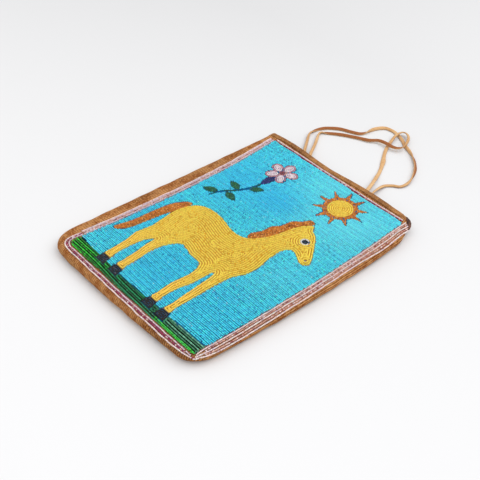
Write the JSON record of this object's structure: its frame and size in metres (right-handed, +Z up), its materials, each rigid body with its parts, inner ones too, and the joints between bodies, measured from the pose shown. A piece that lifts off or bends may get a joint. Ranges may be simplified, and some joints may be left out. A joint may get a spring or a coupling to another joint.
{
  "type": "beaded flat bag",
  "caption": "Flat cloth bag whose face is covered in rows of glass seed beads picturing a horse, a sun and a flower, open at its bound mouth, with looped thong handles.",
  "frame": {"origin": "middle of the bag's footprint, on the surface that its back lies on; the thong handles aren't counted", "axes": "+Z up out of the beaded face, +Y along the bag towards its mouth, +X to the right as the beaded picture is seen upright"},
  "size_m": [0.242, 0.4533, 0.0139],
  "materials": {
    "amber_beads": "glossy opaque seed beads in rows",
    "binding": "folded ribbed strip, matt",
    "binding_end": "dark, worn, matt",
    "black_beads": "glossy opaque seed beads in rows",
    "burgundy_beads": "glossy opaque seed beads in rows",
    "cloth": "fine-ribbed cloth, matt",
    "dark_rose_beads": "glossy opaque seed beads in rows",
    "gold_beads": "glossy opaque seed beads in rows",
    "lavender_beads": "glossy opaque seed beads in rows",
    "leaf_beads": "glossy opaque seed beads in rows",
    "navy_beads": "glossy opaque seed beads in rows",
    "petal_beads": "glossy opaque seed beads in rows",
    "pink_beads": "glossy opaque seed beads in rows",
    "rose_beads": "glossy opaque seed beads in rows",
    "sky_beads": "glossy opaque seed beads in rows",
    "thong": "raw tanned strip, matt",
    "turf_beads": "glossy opaque seed beads in rows",
    "white_beads": "glossy opaque seed beads in rows"
  },
  "bodies": {
    "root": {"back_panel": "cloth", "binding_end": "binding_end", "blossom_heart": "dark_rose_beads", "border_bottom_strand_1": "lavender_beads", "border_bottom_strand_2": "burgundy_beads", "border_bottom_strand_3": "pink_beads", "border_left_strand_1": "lavender_beads", "border_left_strand_2": "rose_beads", "border_left_strand_3": "lavender_beads", "border_left_strand_4": "pink_beads", "border_right_strand_1": "pink_beads", "border_right_strand_2": "rose_beads", "border_right_strand_3": "pink_beads", "border_right_strand_4": "rose_beads", "border_right_strand_5": "pink_beads", "border_top_strand_1": "burgundy_beads", "border_top_strand_2": "pink_beads", "calyx": "navy_beads", "eye": "black_beads", "eye_white": "white_beads", "flower_stem": "leaf_beads", "front_panel": "cloth", "handle_inner": "thong", "handle_outer": "thong", "hoof_1": "black_beads", "hoof_2": "black_beads", "hoof_3": "black_beads", "hoof_4": "black_beads", "horse_body": "gold_beads", "horse_mane": "amber_beads", "horse_tail": "amber_beads", "leaf_1": "leaf_beads", "leaf_2": "leaf_beads", "leaf_3": "leaf_beads", "leaf_4": "leaf_beads", "mouth_binding_back": "binding", "mouth_binding_front": "binding", "nostril": "black_beads", "petal_1": "petal_beads", "petal_2": "petal_beads", "petal_3": "petal_beads", "petal_4": "petal_beads", "petal_5": "petal_beads", "petal_rim": "rose_beads", "sky_between_forelegs": "sky_beads", "sky_between_hind_legs": "sky_beads", "sky_ground": "sky_beads", "sky_under_belly": "sky_beads", "sun_disc": "gold_beads", "sun_rays": "amber_beads", "turf_ground": "turf_beads"}
  },
  "joints": []
}
